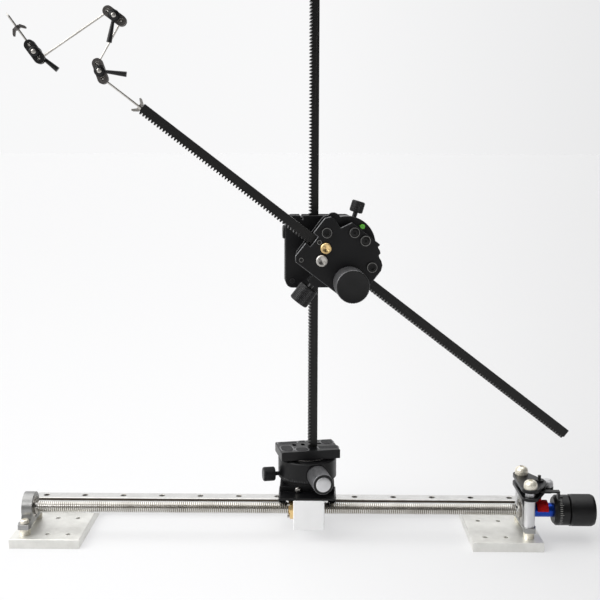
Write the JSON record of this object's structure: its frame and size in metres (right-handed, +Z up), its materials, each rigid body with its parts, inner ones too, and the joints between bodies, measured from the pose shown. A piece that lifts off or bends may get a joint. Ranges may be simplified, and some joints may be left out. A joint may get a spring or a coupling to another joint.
{
  "type": "camera slider",
  "caption": "Tabletop motion rig: screw-driven rail slider, panning clamp with toothed mast, sliding toothed boom on a swivel head, and a jointed rigging arm.",
  "frame": {"origin": "centre of the base's bolt pattern, on the underside of the base plates, below the screw's axis", "axes": "+X along the rail towards the drive knob, +Y away from the front, +Z up"},
  "size_m": [0.5617, 0.1364, 0.583],
  "materials": {
    "plate_steel": "bead-blasted steel with a fine grain",
    "rail_steel": "ground hardened steel",
    "screw_steel": "rolled steel thread",
    "zinc": "cast zinc-aluminium, satin",
    "nickel": "warm nickel plate",
    "bright_steel": "polished steel",
    "sleeve": "satin turned aluminium",
    "black_anodised": "black anodised, satin",
    "black_steel": "black oxide steel",
    "black_knob": "black knurled",
    "blue_anodised": "blue anodised",
    "red_felt": "pressed red felt",
    "white_plastic": "machined white acetal",
    "brass": "turned brass",
    "grey_steel": "dark grey phosphated steel",
    "green_vial": "green liquid in a clear vial"
  },
  "bodies": {
    "base": {"base_plates": "plate_steel", "guide_rail": "rail_steel", "rail_screws": "black_steel", "pillow_spacers": "nickel", "pillow_blocks": "zinc", "screw_bearings": "bright_steel", "pillow_bolts": "nickel", "standoffs": "sleeve", "bridge_plates": "black_anodised", "brake_shoe": "red_felt", "index_arm": "black_steel"},
    "brake": {"brake_spindle": "black_steel"},
    "screw": {"lead_screw": "screw_steel", "shaft_coupling": "blue_anodised", "dial_collar": "black_knob", "drive_knob": "black_knob"},
    "carriage": {"rail_block": "rail_steel", "block_end_caps": "black_anodised", "carriage_bridge": "black_anodised", "nut_housing": "white_plastic", "lead_nut": "brass", "carriage_screws": "bright_steel", "pan_base": "black_anodised"},
    "pan": {"pan_drum": "black_anodised", "quick_plate": "black_anodised", "mast_rack": "black_steel"},
    "pan_lock": {"pan_lock_knob": "black_knob"},
    "clamp": {"clamp_knob": "black_knob"},
    "mast_head": {"mast_head_body": "black_anodised", "mast_head_plates": "black_anodised", "mast_head_screws": "black_steel", "swivel_base": "black_anodised"},
    "mast_drive": {"mast_pinion": "grey_steel", "mast_knob": "black_knob"},
    "mast_pinch": {"mast_pinch_knob": "black_knob"},
    "boom_head": {"swivel_housing": "black_anodised", "boom_head_rear_plate": "black_anodised", "boom_head_body": "black_anodised", "boom_head_front_plate": "black_anodised", "boom_head_screws": "black_steel", "bubble_level": "green_vial", "brass_bearing_cap": "brass", "steel_bearing_cap": "bright_steel"},
    "boom_drive": {"boom_pinion": "grey_steel", "boom_knob": "black_knob"},
    "swivel_lock": {"swivel_lock_screw": "black_knob"},
    "boom_lock": {"boom_lock_screw": "black_knob"},
    "boom": {"boom_rack": "black_steel", "rod_1": "bright_steel"},
    "rack_nut": {"rack_wing_nut": "bright_steel"},
    "joint_a": {"joint_plates_a": "grey_steel"},
    "lever_a": {"joint_lever_a": "black_knob"},
    "rod_2": {"rod_2": "bright_steel"},
    "joint_b": {"joint_plates_b": "grey_steel"},
    "lever_b": {"joint_lever_b": "black_knob"},
    "rod_3": {"rod_3": "bright_steel"},
    "joint_c": {"joint_plates_c": "black_steel"},
    "lever_c": {"joint_lever_c": "black_knob"},
    "needle": {"needle": "bright_steel"},
    "needle_nut": {"needle_wing_nut": "grey_steel"}
  },
  "joints": [
    {"name": "screw_spin", "type": "hinge", "parent": "base", "child": "screw", "pos_m": [0, 0, 0.029], "axis": [1, 0, 0], "range_deg": [-30260, 41060]},
    {"name": "carriage_slide", "type": "slide", "parent": "base", "child": "carriage", "axis": [1, 0, 0], "range_m": [-0.228, 0.168]},
    {"name": "brake_turn", "type": "hinge", "parent": "base", "child": "brake", "pos_m": [0.2545, 0, 0.047], "axis": [0, 0, 1], "range_deg": [-90, 90]},
    {"name": "pan", "type": "hinge", "parent": "carriage", "child": "pan", "pos_m": [0.0294, 0.0295, 0.0491], "axis": [0, 0, 1], "continuous": true},
    {"name": "pan_lock_turn", "type": "hinge", "parent": "pan", "child": "pan_lock", "pos_m": [0.03292, 0.03027, 0.0614], "axis": [0.2147, -0.9767, 0], "range_deg": [0, 360]},
    {"name": "clamp_turn", "type": "hinge", "parent": "pan", "child": "clamp", "pos_m": [0.0294, 0.0295, 0.0564], "axis": [-0.9767, -0.2147, 0], "range_deg": [0, 360]},
    {"name": "mast_slide", "type": "slide", "parent": "pan", "child": "mast_head", "axis": [0, 0, 1], "range_m": [-0.05, 0.26]},
    {"name": "mast_pinion_turn", "type": "hinge", "parent": "mast_head", "child": "mast_drive", "pos_m": [0.02493, 0.02925, 0.27778], "axis": [0.0785, -0.9969, 0], "range_deg": [-2501.92, 496.56]},
    {"name": "mast_pinch_turn", "type": "hinge", "parent": "mast_head", "child": "mast_pinch", "pos_m": [0.0344, 0.03, 0.2968], "axis": [-0.9969, -0.0785, 0], "range_deg": [0, 360]},
    {"name": "swivel", "type": "hinge", "parent": "mast_head", "child": "boom_head", "pos_m": [0.06215, 0.03218, 0.28793], "axis": [0.0785, -0.9969, 0], "range_deg": [-12, 70]},
    {"name": "boom_slide", "type": "slide", "parent": "boom_head", "child": "boom", "axis": [0.7898, 0.0622, -0.6101], "range_m": [-0.24, 0.15]},
    {"name": "boom_pinion_turn", "type": "hinge", "parent": "boom_head", "child": "boom_drive", "pos_m": [0.06244, 0.03221, 0.25552], "axis": [0.0785, -0.9969, 0], "range_deg": [-1451.49, 2310.93]},
    {"name": "swivel_lock_turn", "type": "hinge", "parent": "boom_head", "child": "swivel_lock", "pos_m": [0.06458, 0.00128, 0.28793], "axis": [0.2915, 0.0229, 0.9563], "range_deg": [0, 360]},
    {"name": "boom_lock_turn", "type": "hinge", "parent": "boom_head", "child": "boom_lock", "pos_m": [0.05301, -0.01769, 0.27839], "axis": [-0.6083, -0.0479, -0.7923], "range_deg": [0, 360]},
    {"name": "rack_nut_turn", "type": "hinge", "parent": "boom", "child": "rack_nut", "pos_m": [-0.1187, -0.0312, 0.41104], "axis": [-0.7898, -0.0622, 0.6101], "range_deg": [0, 360]},
    {"name": "arm_1", "type": "hinge", "parent": "boom", "child": "joint_a", "pos_m": [-0.15187, -0.03381, 0.43666], "axis": [0.0785, -0.9969, 0], "range_deg": [-90, 90]},
    {"name": "lever_a_turn", "type": "hinge", "parent": "joint_a", "child": "lever_a", "pos_m": [-0.15408, -0.03399, 0.4432], "axis": [0.0785, -0.9969, 0], "range_deg": [0, 90]},
    {"name": "arm_2", "type": "hinge", "parent": "joint_a", "child": "rod_2", "pos_m": [-0.15628, -0.03416, 0.44973], "axis": [-0.0785, 0.9969, 0], "range_deg": [-90, 55]},
    {"name": "arm_3", "type": "hinge", "parent": "rod_2", "child": "joint_b", "pos_m": [-0.13484, -0.03247, 0.48639], "axis": [0.0785, -0.9969, 0], "range_deg": [-90, 32]},
    {"name": "lever_b_turn", "type": "hinge", "parent": "joint_b", "child": "lever_b", "pos_m": [-0.14039, -0.03291, 0.49047], "axis": [0.0785, -0.9969, 0], "range_deg": [0, 90]},
    {"name": "arm_4", "type": "hinge", "parent": "joint_b", "child": "rod_3", "pos_m": [-0.14594, -0.03334, 0.49454], "axis": [-0.0785, 0.9969, 0], "range_deg": [-32, 90]},
    {"name": "arm_5", "type": "hinge", "parent": "rod_3", "child": "joint_c", "pos_m": [-0.20628, -0.03809, 0.45372], "axis": [0.0785, -0.9969, 0], "range_deg": [-60, 90]},
    {"name": "lever_c_turn", "type": "hinge", "parent": "joint_c", "child": "lever_c", "pos_m": [-0.21027, -0.03841, 0.45934], "axis": [0.0785, -0.9969, 0], "range_deg": [0, 90]},
    {"name": "arm_6", "type": "hinge", "parent": "joint_c", "child": "needle", "pos_m": [-0.21427, -0.03872, 0.46495], "axis": [-0.0785, 0.9969, 0], "range_deg": [-90, 90]},
    {"name": "needle_nut_turn", "type": "hinge", "parent": "needle", "child": "needle_nut", "pos_m": [-0.21427, -0.03872, 0.46495], "axis": [-0.5747, -0.0452, 0.8171], "range_deg": [0, 360]}
  ],
  "couplings": [
    {"joint": "screw_spin", "follows": "carriage_slide", "rad_per_m": -3141.6},
    {"joint": "mast_pinion_turn", "follows": "mast_slide", "rad_per_m": -166.67},
    {"joint": "boom_pinion_turn", "follows": "boom_slide", "rad_per_m": -166.67}
  ]
}
